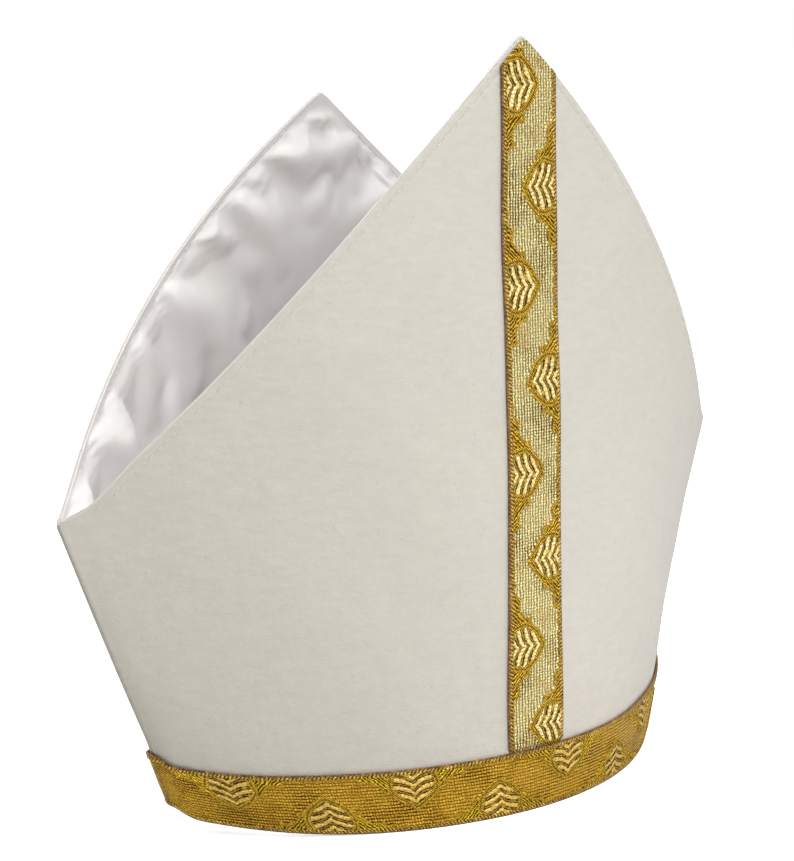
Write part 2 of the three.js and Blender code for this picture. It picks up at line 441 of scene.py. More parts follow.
GALLOON_TINTS = "ground_dark ground_bright ground_dull wing_dark wing_bright bar_bright metal"
GalloonTint = namedtuple("GalloonTint", GALLOON_TINTS)
STRIP_TINT = GalloonTint(
    ground_dark=(0.08, 0.042, 0.005, 1),
    ground_bright=(1.0, 0.86, 0.41, 1),
    ground_dull=(0.66, 0.43, 0.15, 1),
    wing_dark=(0.05, 0.02, 0.001, 1),
    wing_bright=(0.88, 0.52, 0.045, 1),
    bar_bright=(0.92, 0.77, 0.38, 1),
    metal=0.28,
)
# The band's tint is the same ribbon as the strips. Its deeper, browner colours are painted shade, for the
# band facing down and away from the light, and it also has more metal.
SHADED_BAND_TINT = GalloonTint(
    ground_dark=(0.075, 0.032, 0.003, 1),
    ground_bright=(0.86, 0.505, 0.052, 1),
    ground_dull=(0.36, 0.18, 0.02, 1),
    wing_dark=(0.07, 0.03, 0.002, 1),
    wing_bright=(1.0, 0.64, 0.04, 1),
    bar_bright=(0.84, 0.55, 0.14, 1),
    metal=0.6,
)

# Scale and detail of the noises on the galloon
YARN_NOISE = (1500.0, 2.0)
JAG_NOISE = (900.0, 1.0)
# This noise breaks up the painted shade between the leaf's bars
BAR_GAP_SHADE_NOISE = (430.0, 1.0)
SWAY_NOISE = (260.0, 1.0)
DULL_NOISE = (110.0, 3.0)
PATCH_NOISE = (55.0, 2.0)

# Centre and half width of the cords, measured inwards from the outlines of leaf and wing
OUTER_CORD = (0.45, 0.78)
INNER_CORD = (1.95, 0.68)
WING_CORD = (0.3, 0.7)
LEAF_CORE_START = (2.3, 2.7)
OUTLINE_SOFTNESS = 0.2


# Materials

def add_node(tree, kind, inputs=None, **settings):
    """A node with its settings, and its inputs given as values or as sockets to link."""
    node = tree.nodes.new(kind)
    for key, value in settings.items():
        setattr(node, key, value)
    for key, value in (inputs or {}).items():
        if isinstance(value, bpy.types.NodeSocket):
            tree.links.new(value, node.inputs[key])
        else:
            node.inputs[key].default_value = value
    return node


def mix_colour(tree, share, first, second, blend="MIX"):
    """The first colour with a share of the second."""
    node = add_node(tree, "ShaderNodeMix", {0: share, 6: first, 7: second},
                    data_type="RGBA", blend_type=blend, clamp_factor=True)
    return node.outputs[2]


def figure(tree, operation, *values):
    """One sum of a Math node."""
    node = add_node(tree, "ShaderNodeMath", dict(enumerate(values)), operation=operation)
    return node.outputs[0]


def reach_of(tree, value, low, high):
    """value carried from low..high to 0..1 and held there."""
    node = add_node(tree, "ShaderNodeMapRange", {"Value": value, "From Min": low, "From Max": high})
    return node.outputs[0]


def new_material(name, plain):
    """A material with its output and a shader whose plain inputs are set."""
    material = bpy.data.materials.new(name)
    material.use_nodes = True
    tree = material.node_tree
    tree.nodes.clear()
    shader = tree.nodes.new("ShaderNodeBsdfPrincipled")
    output = tree.nodes.new("ShaderNodeOutputMaterial")
    tree.links.new(shader.outputs[0], output.inputs[0])
    for key, value in plain.items():
        shader.inputs[key].default_value = value
    return material, tree, shader


def cloth_fibre_group():
    """Fibres drawn out one way: a fine noise, a coarser streak and sparse specks, all from the
    coordinate multiplied by Stretch."""
    group = bpy.data.node_groups.new("cloth_fibre", "ShaderNodeTree")
    for name, kind in (("Place", "NodeSocketVector"), ("Stretch", "NodeSocketVector"),
                       ("Fibre", "NodeSocketFloat"), ("Streak", "NodeSocketFloat")):
        group.interface.new_socket(name, in_out="INPUT", socket_type=kind)
    for name in ("Height", "Streaks", "Specks"):
        group.interface.new_socket(name, in_out="OUTPUT", socket_type="NodeSocketFloat")
    entry = group.nodes.new("NodeGroupInput")
    leave = group.nodes.new("NodeGroupOutput")
    place = entry.outputs["Place"]
    fibre_size = entry.outputs["Fibre"]
    streak_size = entry.outputs["Streak"]
    drawn = add_node(group, "ShaderNodeVectorMath", {0: place, 1: entry.outputs["Stretch"]},
                     operation="MULTIPLY").outputs[0]
    fine = add_node(group, "ShaderNodeTexNoise",
                    {"Vector": drawn, "Scale": fibre_size, "Detail": 4.0, "Roughness": 0.62})
    streak = add_node(group, "ShaderNodeTexNoise",
                      {"Vector": drawn, "Scale": streak_size, "Detail": 3.0, "Roughness": 0.55})
    speck = add_node(group, "ShaderNodeTexNoise",
                     {"Vector": place, "Scale": streak_size, "Detail": 5.0})
    group.links.new(fine.outputs[0], leave.inputs["Height"])
    group.links.new(reach_of(group, streak.outputs[0], 0.3, 0.7), leave.inputs["Streaks"])
    group.links.new(reach_of(group, speck.outputs[0], 0.66, 0.74), leave.inputs["Specks"])
    return group


CLOTH_FIBRE = cloth_fibre_group()


def place_fibre(tree, place, stretch, fibre, streak):
    """The fibre group in a material, with its own sizes."""
    inputs = {"Place": place, "Stretch": stretch, "Fibre": fibre, "Streak": streak}
    return add_node(tree, "ShaderNodeGroup", inputs, node_tree=CLOTH_FIBRE)


def felt_finish():
    """Ivory brushed felt: faint level slubs, soft colour drift, slight puckers and a matt nap."""
    plain = {"Roughness": 0.92, "Specular IOR Level": 0.2, "Sheen Weight": 0.25, "Sheen Roughness": 0.5}
    material, tree, shader = new_material("ivory_felt", plain)
    place = add_node(tree, "ShaderNodeTexCoord").outputs["Object"]
    fibre = place_fibre(tree, place, stretch=(0.35, 0.35, 1.0), fibre=1500.0, streak=420.0)
    drift = add_node(tree, "ShaderNodeTexNoise", {"Vector": place, "Scale": 9.0, "Detail": 2.0})
    base = mix_colour(tree, reach_of(tree, drift.outputs[0], 0.35, 0.65), *FELT_IVORY)
    slub = figure(tree, "MULTIPLY", fibre.outputs["Streaks"], 0.5)
    tinted = mix_colour(tree, slub, base, FELT_SLUB)
    speck = figure(tree, "MULTIPLY", fibre.outputs["Specks"], 0.4)
    tree.links.new(mix_colour(tree, speck, tinted, FELT_SPECK), shader.inputs["Base Color"])
    pucker = add_node(tree, "ShaderNodeTexNoise", {"Vector": place, "Scale": 75.0, "Detail": 3.0})
    nap = add_node(tree, "ShaderNodeBump",
                   {"Height": fibre.outputs["Height"], "Strength": 0.4, "Distance": 0.0006})
    bump = add_node(tree, "ShaderNodeBump",
                    {"Height": pucker.outputs[0], "Normal": nap.outputs[0],
                     "Strength": 0.6, "Distance": 0.0014})
    tree.links.new(bump.outputs[0], shader.inputs["Normal"])
    return material


def satin_finish():
    """White satin: a smooth float weave, cool white, glossy with slightly uneven shine."""
    plain = {"Specular IOR Level": 0.6, "Sheen Weight": 0.1}
    material, tree, shader = new_material("white_satin", plain)
    place = add_node(tree, "ShaderNodeTexCoord").outputs["Object"]
    fibre = place_fibre(tree, place, stretch=(1.0, 1.0, 0.25), fibre=2600.0, streak=60.0)
    tint = mix_colour(tree, fibre.outputs["Streaks"], *SATIN_WHITE)
    tree.links.new(tint, shader.inputs["Base Color"])
    rough = add_node(tree, "ShaderNodeMapRange",
                     {"Value": fibre.outputs["Streaks"], "To Min": 0.42, "To Max": 0.52})
    tree.links.new(rough.outputs[0], shader.inputs["Roughness"])
    bump = add_node(tree, "ShaderNodeBump",
                    {"Height": fibre.outputs["Height"], "Strength": 0.08, "Distance": 0.0004})
    tree.links.new(bump.outputs[0], shader.inputs["Normal"])
    return material


def thread_finish():
    """Ivory sewing thread: two plies shown by a slanted wave along each stitch."""
    plain = {"Roughness": 0.55, "Sheen Weight": 0.2}
    material, tree, shader = new_material("sewing_thread", plain)
    cloth = add_node(tree, "ShaderNodeUVMap", uv_map="cloth").outputs[0]
    ply = add_node(tree, "ShaderNodeTexWave", {"Vector": cloth, "Scale": 420.0, "Distortion": 0.0},
                   bands_direction="DIAGONAL")
    tint = mix_colour(tree, ply.outputs["Fac"], *THREAD_IVORY)
    tree.links.new(tint, shader.inputs["Base Color"])
    bump = add_node(tree, "ShaderNodeBump",
                    {"Height": ply.outputs["Fac"], "Strength": 0.4, "Distance": 0.0002})
    tree.links.new(bump.outputs[0], shader.inputs["Normal"])
    return material


def smooth_reach(tree, value, low, high):
    """value carried from low..high to 0..1 along a smooth curve."""
    node = add_node(tree, "ShaderNodeMapRange", {"Value": value, "From Min": low, "From Max": high},
                    interpolation_type="SMOOTHSTEP")
    return node.outputs[0]


def line_mask(tree, value, centre, half):
    """1 on the line where value is centre, falling to 0 at half on either side."""
    gap = figure(tree, "ABSOLUTE", figure(tree, "SUBTRACT", value, centre))
    return figure(tree, "SUBTRACT", 1.0, smooth_reach(tree, gap, half * 0.45, half))


def product(tree, *values):
    """All the values multiplied together."""
    total = values[0]
    for value in values[1:]:
        total = figure(tree, "MULTIPLY", total, value)
    return total


def less(tree, value):
    """What is left of one after value."""
    return figure(tree, "SUBTRACT", 1.0, value)


def galloon_finish(name, tint):
    """Gold galloon: metal yarn coloured by what is woven at each point, with painted shade in the gaps
    between the leaf's bars, cords, wing stripes and ground ribs and in the grooves of the cords' twist,
    and painted glints scattered over the yarn. The fields carried by the ribbon give the leaf's cords
    and bars, the wings' stripes and the selvage, over a ground of ribs along the ribbon crossed by
    finer ones, with the painted shade between them drawn more strongly in some patches. Two noises
    shift every line a little, as hand-drawn yarn is shifted."""
    plain = {"Metallic": tint.metal, "Roughness": 0.38, "Specular IOR Level": 0.1}
    material, tree, shader = new_material(name, plain)
    cloth = add_node(tree, "ShaderNodeUVMap", uv_map="cloth").outputs[0]
    axes = add_node(tree, "ShaderNodeSeparateXYZ", {0: cloth})
    along = figure(tree, "DIVIDE", axes.outputs[0], MM)
    across = figure(tree, "DIVIDE", axes.outputs[1], MM)
    field = {key: add_node(tree, "ShaderNodeAttribute", attribute_name=key).outputs["Fac"]
             for key in WEAVE_FIELDS}

    def noise(scale, detail):
        """Noise over the ribbon, from 0 to 1."""
        inputs = {"Vector": cloth, "Scale": scale, "Detail": detail}
        return add_node(tree, "ShaderNodeTexNoise", inputs).outputs[0]

    def shift(value, noise_value, size):
        """value moved by size times the noise's distance from its middle."""
        return figure(tree, "MULTIPLY_ADD", figure(tree, "SUBTRACT", noise_value, 0.5), size, value)

    def waves(value, pitch, low, high):
        """A row of waves: 0 up to the share low of half a pitch, 1 from the share high."""
        fold = figure(tree, "PINGPONG", value, pitch / 2)
        return smooth_reach(tree, fold, low * pitch / 2, high * pitch / 2)

    yarn = noise(*YARN_NOISE)
    jag = noise(*JAG_NOISE)
    sway = noise(*SWAY_NOISE)
    patch = noise(*PATCH_NOISE)

    # The leaf, the wings and the ribbed ground
    leaf = shift(shift(field["leaf"], jag, 1.4), sway, 1.3)
    wing = shift(shift(field["wing"], jag, 1.6), sway, 1.6)
    rib = waves(shift(shift(across, sway, 1.0), jag, 0.7), RIB_PITCH, 0.2, 0.58)
    tick = waves(shift(shift(along, sway, 1.0), jag, 0.8), TICK_PITCH, 0.12, 0.6)
    lines = product(tree, rib, figure(tree, "MULTIPLY_ADD", tick, 0.6, 0.4))
    # How dark the painted shade between the ribs is drawn: more strongly in some patches
    strong = figure(tree, "MULTIPLY_ADD", smooth_reach(tree, patch, 0.44, 0.62), 0.25, 0.75)
    mesh = less(tree, product(tree, strong, less(tree, lines)))
    in_leaf = smooth_reach(tree, leaf, -OUTLINE_SOFTNESS, OUTLINE_SOFTNESS)
    in_wing = smooth_reach(tree, wing, -OUTLINE_SOFTNESS, OUTLINE_SOFTNESS)
    in_wing = product(tree, in_wing, less(tree, in_leaf))

    # The cords, and the bars inside the leaf
    cord = figure(tree, "MAXIMUM", line_mask(tree, leaf, *OUTER_CORD), line_mask(tree, leaf, *INNER_CORD))
    bound = product(tree, line_mask(tree, wing, *WING_CORD), less(tree, in_leaf))
    star = less(tree, smooth_reach(tree, shift(field["cusp"], jag, 0.8), 0.6, 1.2))
    cord = figure(tree, "MAXIMUM", cord, figure(tree, "MAXIMUM", bound, star))
    twist = waves(shift(figure(tree, "ADD", along, across), jag, 0.9), TWIST_PITCH, 0.1, 0.8)
    core = smooth_reach(tree, leaf, *LEAF_CORE_START)
    sweep = figure(tree, "PINGPONG", shift(shift(field["chevron"], jag, 1.3), sway, 0.8), BAR_PITCH / 2)
    bead = waves(shift(field["run"], jag, 0.8), BEAD_PITCH, 0.0, 0.6)
    bar = product(tree, core, less(tree, smooth_reach(tree, sweep, 0.45, 1.0)))
    bar = product(tree, bar, figure(tree, "MULTIPLY_ADD", bead, 0.75, 0.25))
    # Painted shade: the gaps between the leaf's bars are darkened, broken up by a noise
    bar_gap_shade = product(tree, core, line_mask(tree, sweep, 1.3, 0.5))
    bar_gap_shade = product(tree, bar_gap_shade, smooth_reach(tree, noise(*BAR_GAP_SHADE_NOISE), 0.25, 0.5))

    # The wings' stripes and the ribbon's edges
    stripe = waves(shift(shift(field["slant"], jag, 1.2), sway, 1.5), STRIPE_PITCH, 0.1, 0.9)
    edge = figure(tree, "SUBTRACT", RIBBON_HALF_WIDTH, figure(tree, "ABSOLUTE", across))
    selvage = less(tree, smooth_reach(tree, shift(edge, jag, 0.9), SELVAGE_WIDTH - SELVAGE_SOFTNESS,
                                      SELVAGE_WIDTH + SELVAGE_SOFTNESS))
    hem = less(tree, smooth_reach(tree, shift(edge, jag, 0.6), 0.0, 0.35))
    knot = waves(shift(figure(tree, "MULTIPLY_ADD", edge, 0.6, along), jag, 1.4), BEAD_PITCH, 0.1, 0.8)
    dull = product(tree, smooth_reach(tree, noise(*DULL_NOISE), 0.5, 0.66), 0.4)

    # The colours, one over another
    # Painted shade in the lines between the ground's ribs, stronger in some patches
    ground = mix_colour(tree, mesh, tint.ground_dark, tint.ground_bright)
    ground = mix_colour(tree, dull, ground, tint.ground_dull)
    # Painted shade in the gaps between the wings' stripes
    wings = mix_colour(tree, stripe, tint.wing_dark, tint.wing_bright)
    colour = mix_colour(tree, in_wing, ground, wings)
    # The leaf's dark between and beside its cords is painted shade
    colour = mix_colour(tree, in_leaf, colour, LEAF_CORD_GAP_SHADE)
    colour = mix_colour(tree, core, colour, LEAF_CORE)
    colour = mix_colour(tree, bar_gap_shade, colour, LEAF_BAR_GAP_SHADE)
    colour = mix_colour(tree, bar, colour, tint.bar_bright)
    # Painted shade in the grooves of the cords' twist
    cords = mix_colour(tree, twist, *CORD_GOLD_AND_TWIST_SHADE)
    colour = mix_colour(tree, cord, colour, cords)
    edging = mix_colour(tree, knot, *SELVAGE_GOLD)
    colour = mix_colour(tree, selvage, colour, edging)
    colour = mix_colour(tree, hem, colour, HEM_BROWN)
    glint = mix_colour(tree, reach_of(tree, yarn, 0.3, 0.7), *YARN_GLINT)
    tree.links.new(mix_colour(tree, 1.0, colour, glint, "MULTIPLY"), shader.inputs["Base Color"])

    # The yarns' relief
    bare = product(tree, less(tree, in_leaf), less(tree, in_wing), less(tree, selvage))
    relief = figure(tree, "ADD", product(tree, mesh, bare), product(tree, yarn, 0.6))
    relief = figure(tree, "ADD", relief, product(tree, twist, cord))
    relief = figure(tree, "ADD", relief, product(tree, stripe, in_wing))
    relief = figure(tree, "ADD", relief, product(tree, knot, selvage))
    bump = add_node(tree, "ShaderNodeBump", {"Height": relief, "Strength": 1.0, "Distance": 0.0006})
    tree.links.new(bump.outputs[0], shader.inputs["Normal"])
    return material


def floor_finish():
    """Pale matt studio paper with a trace of grain. The camera sees it at its full paleness with a
    glow added, and other rays meet a greyer paper without the glow."""
    plain = {"Emission Color": (1, 1, 1, 1), "Roughness": 0.9, "Specular IOR Level": 0.1}
    material, tree, shader = new_material("studio_paper", plain)
    place = add_node(tree, "ShaderNodeTexCoord").outputs["Object"]
    grain = add_node(tree, "ShaderNodeTexNoise", {"Vector": place, "Scale": 40.0}).outputs[0]
    pale = mix_colour(tree, grain, *PAPER_SEEN)
    seen = add_node(tree, "ShaderNodeLightPath").outputs["Is Camera Ray"]
    tree.links.new(mix_colour(tree, seen, PAPER_SENDING_LIGHT, pale), shader.inputs["Base Color"])
    tree.links.new(figure(tree, "MULTIPLY", seen, FLOOR_GLOW), shader.inputs["Emission Strength"])
    return material


FELT = felt_finish()
SATIN = satin_finish()
THREAD = thread_finish()
STRIP_GALLOON = galloon_finish("strip_galloon", STRIP_TINT)
# The band's galloon is a shaded copy of the strips' galloon: its deeper colours are painted shade.
SHADED_BAND_GALLOON = galloon_finish("shaded_band_galloon", SHADED_BAND_TINT)


# Felt panels and their linings

def panel_places(horn, rows, columns, foot, grow=0.0, seam_share=1.0):
    """A grid of x and z over a horn's panel: even heights from the foot to just under the point,
    and columns that crowd towards the edges. grow moves the horn's edge outwards, and seam_share
    is the part of the width used below the shoulder."""
    climb = np.linspace(SHOULDER_HEIGHT, horn.apex, CLIMB_POINTS)
    tip = np.interp(-PANEL_TIP_HALF_WIDTH, -horn_half_width(horn, climb), climb)
    z = np.linspace(foot, tip, rows)[:, None]
    spread = np.linspace(-1, 1, columns)[None]
    spread = EVEN_COLUMNS * spread + CROWDED_COLUMNS * np.sin(np.pi / 2 * spread)
    above = smooth_step(*PANEL_EDGE_START, z)
    width = horn_half_width(horn, z) * (seam_share + (1 - seam_share) * above) + grow * above
    return width * spread, z + 0 * spread


def cloth_uv(x, z):
    """Distances across and up the cloth as its own map."""
    return np.stack([x, z], -1)


def felt_wall(horn, x, z):
    """The felt's thickness: full in the panel and pressed thin along the stitched horn edges."""
    above = smooth_step(*FELT_PRESS_START, z)
    pressed = (1 - smooth_step(*FELT_PRESS_REACH, edge_distance(horn, x, z))) * above
    return FELT_WALL + (FELT_EDGE_WALL - FELT_WALL) * pressed


def felt_wave(horn, x, z):
    """The felt's slow waves, calm at the rim and along the panel's edges."""
    calm = smooth_step(*WAVE_RIM_FADE, z) * smooth_step(*WAVE_EDGE_FADE, edge_distance(horn, x, z))
    return wave_sum(SLOW_WAVES, x, z, horn.side) * calm


def felt_panel(horn):
    """One horn's felt: the outer face with slow waves and a groove pressed in along the edge
    stitching, and the inner face a felt's thickness inside it."""
    x, z = panel_places(horn, FELT_ROWS, FELT_COLUMNS, FELT_WALL / 2)
    above = smooth_step(*GROOVE_START, z)
    away = edge_distance(horn, x, z)
    groove = GROOVE_DEPTH * np.exp(-((away - EDGE_STITCH_LINE) / GROOVE_WIDTH) ** 2) * above
    outer = layer(horn, x, z, felt_wave(horn, x, z) - groove)
    inner = layer(horn, x, z, -felt_wall(horn, x, z))
    return cloth_shell(horn.name + "_felt", outer, inner, FELT, cloth_uv(x, z))


# The satin lining is cut larger than the felt, most of all along its edges, and settles by a cloth
# simulation, run ten times larger than life so that the usual cloth values suit it
SIM_SCALE = 0.01
SIM_FRAMES = 24
SIM_GRID = 90
EDGE_EASE = 0.10
MIDDLE_EASE = 0.03
EASE_FROM = 1.0
EASE_TO = 45.0
PUFF_PRESSURE = 0.5
PUFF_DEPTH = 9.0
PUFF_BLUR = 12
FOLD_BLUR = 1
FOLD_STRENGTH = 1.5
SLIDE_SHARE = 0.5
EDGE_ROLL = 1.8
EDGE_ROLL_RISE = 5.0
EDGE_ROLL_REACH = 14.0
START_PUFF = 0.8
START_FADE = (0, 10)
SATIN_CLOTH = {
    "quality": 5,
    "mass": 0.2,
    "tension_stiffness": 15,
    "compression_stiffness": 15,
    "shear_stiffness": 6,
    "bending_stiffness": 2,
    "air_damping": 2,
    "vertex_group_mass": "held",
    "pin_stiffness": 1,
    "vertex_group_shrink": "taut",
    "shrink_min": -EDGE_EASE,
    "shrink_max": -MIDDLE_EASE,
    "use_pressure": True,
}

CRINKLES = (
    Wave(0.45, 1 / 47, 1 / 39, 0.3),
    Wave(0.40, -1 / 33, 1 / 41, 1.9),
    Wave(0.35, 1 / 26, 1 / 61, 3.7),
    Wave(0.30, -1 / 23, 1 / 29, 5.1),
)


def bare_sheet(name, points):
    """A grid of points as an open mesh for the simulation."""
    rows, columns = points.shape[:2]
    index = np.arange(rows * columns).reshape(rows, columns)
    quads = grid_quads(index)
    mesh = bpy.data.meshes.new(name)
    mesh.from_pydata((points.reshape(-1, 3) * SIM_SCALE).tolist(), [], quads.tolist())
    sheet = bpy.data.objects.new(name, mesh)
    bpy.context.scene.collection.objects.link(sheet)
    return sheet


def settle_satin(horn, start, held, taut):
    """Lets a satin sheet settle under a slight pressure from the felt: each edge of its mesh grows
    by the ease, most where the sheet isn't taut, and the held points stay."""
    scene = bpy.context.scene
    sheet = bare_sheet("settling_satin", start)
    pins = sheet.vertex_groups.new(name="held")
    pins.add(np.flatnonzero(held).tolist(), 1.0, "REPLACE")
    tight = sheet.vertex_groups.new(name="taut")
    tenths = np.round(taut.ravel() * 10)
    for level in range(1, 11):
        tight.add(np.flatnonzero(tenths == level).tolist(), level / 10, "REPLACE")
    cloth = sheet.modifiers.new("cloth", "CLOTH")
    cloth.point_cache.frame_start = 1
    cloth.point_cache.frame_end = SIM_FRAMES
    for key, value in SATIN_CLOTH.items():
        setattr(cloth.settings, key, value)
    cloth.settings.effector_weights.gravity = 0
    cloth.settings.uniform_pressure_force = PUFF_PRESSURE * horn.side
    for number in range(1, SIM_FRAMES + 1):
        scene.frame_set(number)
    shape = sheet.evaluated_get(bpy.context.evaluated_depsgraph_get()).to_mesh()
    points = np.empty(len(shape.vertices) * 3)
    shape.vertices.foreach_get("co", points)
    bpy.data.objects.remove(sheet)
    scene.frame_set(1)
    return points.reshape(start.shape) / SIM_SCALE


def grid_blur(values, times):
    """A grid averaged with its four neighbours, over and over."""
    for repeat in range(times):
        wide = np.pad(values, 1, mode="edge")
        near = wide[:-2, 1:-1] + wide[2:, 1:-1] + wide[1:-1, :-2] + wide[1:-1, 2:]
        values = (near + 2 * values) / 6
    return values


def finer_rows(values):
    """A row added between every two, by the four-point rule (-1, 9, 9, -1) / 16."""
    wide = np.concatenate([values[:1], values, values[-1:]])
    between = (9 * (wide[1:-2] + wide[2:-1]) - wide[:-3] - wide[3:]) / 16
    fine = np.empty((2 * len(values) - 1,) + values.shape[1:])
    fine[::2] = values
    fine[1::2] = between
    return fine


def finer(values):
    """A grid with rows and columns added between every two."""
    return np.swapaxes(finer_rows(np.swapaxes(finer_rows(values), 0, 1)), 0, 1)


def lining_panel(horn):
    """One horn's satin lining: it runs out to a narrow lip past the felt's edge, is held down along
    the edge stitching, the side seams and the hem, and stands in settled folds elsewhere. The
    broad part of the puff is flattened to a set depth, the finer folds stay as they settle, and
    a low roll stands along the stitched edge. The settled sheet is drawn out to the side seams
    and kept on its own side of them."""
    x, z = panel_places(horn, SIM_GRID, SIM_GRID, LINING_HEM, LINING_LIP, LINING_SEAM_SHARE)
    hold = -felt_wall(horn, x, z) - LINING_GAP
    outer = layer(horn, x, z, hold)
    lie = layer(horn, x, z, hold - LINING_WALL)
    inward = unit(lie - outer)
    away = edge_distance(horn, x, z) - LINING_STITCH_LINE
    rows, columns = np.indices(x.shape)
    border = (columns == 0) | (columns == SIM_GRID - 1) | (rows == 0) | (rows == SIM_GRID - 1)
    sewn_edge = (away < LINING_HELD_WIDTH) & (z > SHOULDER_HEIGHT - LINING_HELD_UNDER_SHOULDER)
    held = border | sewn_edge | (horn_half_width(horn, z) < LINING_HELD_TIP)
    begin = START_PUFF + np.abs(wave_sum(CRINKLES, x, z, horn.side))
    begin = begin * smooth_step(*START_FADE, away)
    start = lie + inward * np.where(held, 0, begin)[..., None]
    taut = smooth_step(EASE_FROM, EASE_TO, away)
    ended = settle_satin(horn, start, held, taut)
    depth = np.sum((ended - lie) * inward, -1)
    slide = ended - lie - inward * depth[..., None]
    broad = grid_blur(depth, PUFF_BLUR)
    folds = FOLD_STRENGTH * grid_blur(depth - broad, FOLD_BLUR)
    roll = EDGE_ROLL * smooth_step(0, EDGE_ROLL_RISE, away) * np.exp(-(away / EDGE_ROLL_REACH) ** 2)
    puff = np.maximum(PUFF_DEPTH * np.tanh(broad / PUFF_DEPTH) + folds, 0) + roll
    free = np.where(held, 0, 1)[..., None]
    x, z = panel_places(horn, SIM_GRID, SIM_GRID, LINING_HEM, LINING_LIP, LINING_SEWN_SHARE)
    x = np.clip(x, -LINING_REACH, LINING_REACH)
    lie = layer(horn, x, z, -felt_wall(horn, x, z) - LINING_GAP - LINING_WALL)
    sewn = own_side(horn, lie + free * (inward * puff[..., None] + SLIDE_SHARE * slide))
    inner = finer(sewn)
    back = inner - unit(finer(inward)) * LINING_WALL
    return cloth_shell(horn.name + "_satin", inner, back, SATIN, finer(cloth_uv(x, z)))


# The galloon's weave

LEAF_STEP = 35.0
LEAF_ROOT = 0.4
LEAF_LENGTH = 17.6
LEAF_HALF_WIDTH = 12.6
LEAF_SWELL = (0.72, 0.66)
BAR_SWEEP = 3.4
BAR_SWEEP_RUN = 3.2
BAR_RISE = 0.08
STRIPE_SLANT = (0.72, 0.69)
FAR_FROM_CUSP = 9.0
OUTSIDE_MOTIF = -9
FIELD_LIMIT = 40

# Centre and half width of the raised cords, the raised bars' half width and start, and the heights
RAISED_OUTER_CORD = (0.5, 0.75)
RAISED_INNER_CORD = (1.9, 0.65)
RAISED_WING_CORD = (0.3, 0.75)
RAISED_BAR_HALF = 1.05
RAISED_BAR_START = (2.3, 2.9)
RAISED_SOFTNESS = 0.3
INNER_CORD_SHARE = 0.9
STAR_REACH = 1.5
FILL_HEIGHT = 0.2
STRIPE_HEIGHT = 0.25
BAR_HEIGHT = 0.55
CORD_HEIGHT = 0.7
SELVAGE_HEIGHT = 0.22
BEAD_HEIGHT = 0.2

# Round bites that bound the wings beside each leaf: place along the edge, distance in from the
# edge, radius, and the run along the edge where the bite's own cusp stands
Bite = namedtuple("Bite", "along inwards radius cusp")
BITES = (
    Bite(17.5, 9.5, 5.3, 12.0),
    Bite(24.2, 6.0, 4.3, 20.3),
)
WING_LIMITS = (9.9, 5.4, 1.6)
WING_END = 27.0


def leaf_half_width(inwards):
    """Half the leaf's width at a distance in from its edge of the ribbon: (1 - t^2) times a
    rising line, which gives an onion shape with a pointed tip."""
    t = np.clip((inwards - LEAF_ROOT) / LEAF_LENGTH, 0, 1)
    return LEAF_HALF_WIDTH * (1 - t ** 2) * (LEAF_SWELL[0] + LEAF_SWELL[1] * t)


def leaf_motif(along, inwards):
    """One leaf and its two wings, seen from the edge it grows from, as fields in millimetres:
    depth inside the leaf's outline, depth inside the wings, the chevron that the bars follow, the
    slant that the wings' stripes follow, and how near a cusp is."""
    run = np.abs(along)
    slope = (leaf_half_width(inwards + 0.2) - leaf_half_width(inwards - 0.2)) / 0.4
    leaf = (leaf_half_width(inwards) - run) / np.sqrt(1 + slope ** 2)
    beyond = inwards - LEAF_ROOT - LEAF_LENGTH
    leaf = np.where(beyond > 0, -np.hypot(run, beyond), leaf)
    limit = np.select([run < BITES[1].cusp, run < WING_END], WING_LIMITS[:2], WING_LIMITS[2])
    wing = limit - inwards
    cusp = np.full_like(run, FAR_FROM_CUSP)
    for bite in BITES:
        wing = np.minimum(wing, np.hypot(run - bite.along, inwards - bite.inwards) - bite.radius)
        fall = math.sqrt(max(bite.radius ** 2 - (bite.along - bite.cusp) ** 2, 0))
        cusp = np.minimum(cusp, np.hypot(run - bite.cusp, inwards - bite.inwards + fall))
    chevron = inwards + BAR_SWEEP * (1 - np.exp(-run / BAR_SWEEP_RUN)) + BAR_RISE * run
    slant = STRIPE_SLANT[0] * run + STRIPE_SLANT[1] * inwards
    return dict(zip(WEAVE_FIELDS, (leaf, wing, chevron, run, slant, cusp)))


def wave_to(value, half):
    """A triangle wave: the distance of value from the nearest multiple of twice half."""
    return np.abs(value - 2 * half * np.round(value / (2 * half)))


def cord_line(value, centre, half):
    """A rounded cord along the line where value is centre."""
    return np.sqrt(np.clip(1 - ((value - centre) / half) ** 2, 0, 1))


